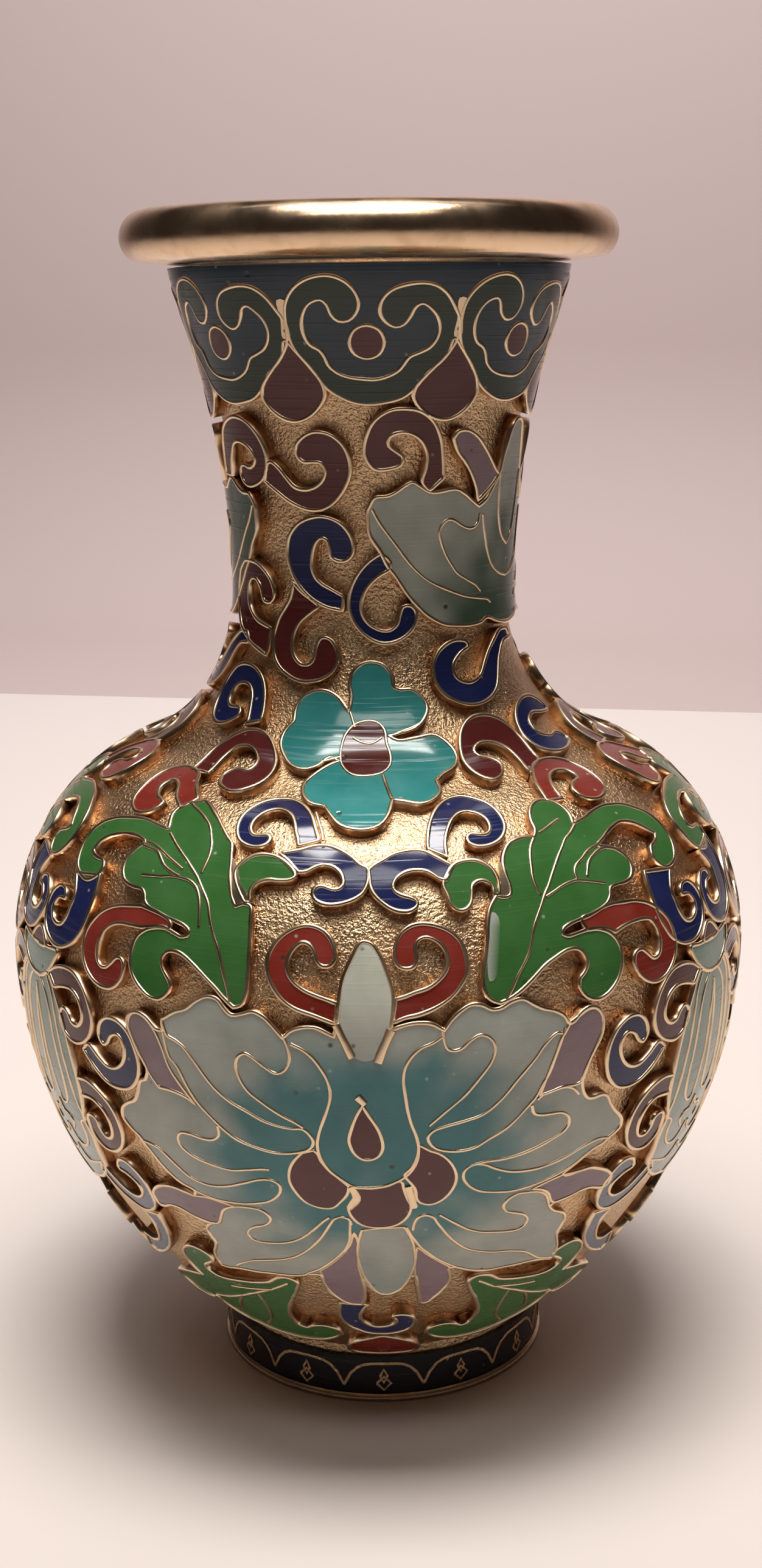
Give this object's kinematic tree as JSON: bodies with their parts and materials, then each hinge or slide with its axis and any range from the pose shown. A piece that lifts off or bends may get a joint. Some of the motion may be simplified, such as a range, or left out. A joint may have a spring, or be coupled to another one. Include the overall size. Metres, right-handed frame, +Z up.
{
  "type": "vase",
  "caption": "Small bulbous vase with a flared neck and rolled gilt mouth, its copper wall covered in raised wire-bordered enamel flowers and scrolls.",
  "frame": {"origin": "middle of the foot ring's underside, on the surface the vase stands on", "axes": "+Z up along the vase's axis; -Y towards the front, where the large white flower is"},
  "size_m": [0.0638, 0.0637, 0.1],
  "materials": {
    "gilt": "gilt copper, polished and lightly worn",
    "gilt_ground": "gilt copper ground, finely stippled",
    "wire": "gilt flat wire, ground level with the enamel",
    "enamel_white": "grey-white enamel running into turquoise",
    "enamel_celadon": "pale celadon enamel, polished",
    "enamel_turquoise": "turquoise enamel, polished, fine scratches",
    "enamel_green": "leaf green enamel, polished, pale specks",
    "enamel_dark_green": "dark green enamel, polished",
    "enamel_navy": "navy enamel, polished, small pits",
    "enamel_red": "brick red enamel, polished",
    "enamel_maroon": "maroon enamel, polished",
    "enamel_slate": "slate blue enamel, polished",
    "enamel_lilac": "lilac pink enamel, polished",
    "enamel_pale_blue": "pale blue enamel, polished",
    "enamel_black": "near-black blue enamel, polished",
    "counter_enamel": "blue counter-enamel, left as fired"
  },
  "bodies": {
    "root": {"base_enamel": "counter_enamel", "base_plate": "gilt_ground", "body_shell": "gilt_ground", "centre_scroll_1": "enamel_navy", "centre_scroll_2": "enamel_navy", "centre_scroll_3": "enamel_navy", "collar_drop_1": "enamel_maroon", "collar_drop_2": "enamel_maroon", "collar_drop_3": "enamel_maroon", "collar_drop_4": "enamel_maroon", "collar_drop_5": "enamel_maroon", "collar_drop_6": "enamel_maroon", "collar_drop_7": "enamel_maroon", "collar_enamel_line": "enamel_slate", "foot_enamel_band": "enamel_black", "foot_ring": "gilt", "inner_enamel_body": "counter_enamel", "inner_enamel_neck": "counter_enamel", "leaf_left_1": "enamel_green", "leaf_left_2": "enamel_green", "leaf_left_3": "enamel_green", "leaf_right_1": "enamel_green", "leaf_right_2": "enamel_green", "leaf_right_3": "enamel_green", "lotus_1": "enamel_white", "lotus_2": "enamel_white", "lotus_3": "enamel_white", "lower_leaf_left_1": "enamel_green", "lower_leaf_left_2": "enamel_green", "lower_leaf_left_3": "enamel_green", "lower_leaf_right_1": "enamel_green", "lower_leaf_right_2": "enamel_green", "lower_leaf_right_3": "enamel_green", "mouth_rim": "gilt", "neck_flower_1": "enamel_white", "neck_flower_2": "enamel_white", "neck_scroll_1": "enamel_maroon", "neck_scroll_2": "enamel_maroon", "neck_shell": "gilt_ground", "ruyi_head_1": "enamel_dark_green", "ruyi_head_2": "enamel_dark_green", "ruyi_head_3": "enamel_dark_green", "ruyi_head_4": "enamel_dark_green", "ruyi_head_5": "enamel_dark_green", "ruyi_head_6": "enamel_dark_green", "ruyi_head_7": "enamel_dark_green", "shoulder_flower_1": "enamel_turquoise", "shoulder_flower_2": "enamel_turquoise", "shoulder_flower_3": "enamel_turquoise", "side_flower_1": "enamel_celadon", "side_flower_2": "enamel_celadon", "side_flower_3": "enamel_celadon", "side_scroll_left_1": "enamel_red", "side_scroll_left_2": "enamel_red", "side_scroll_left_3": "enamel_red", "side_scroll_right_1": "enamel_red", "side_scroll_right_2": "enamel_red", "side_scroll_right_3": "enamel_red"}
  },
  "joints": []
}
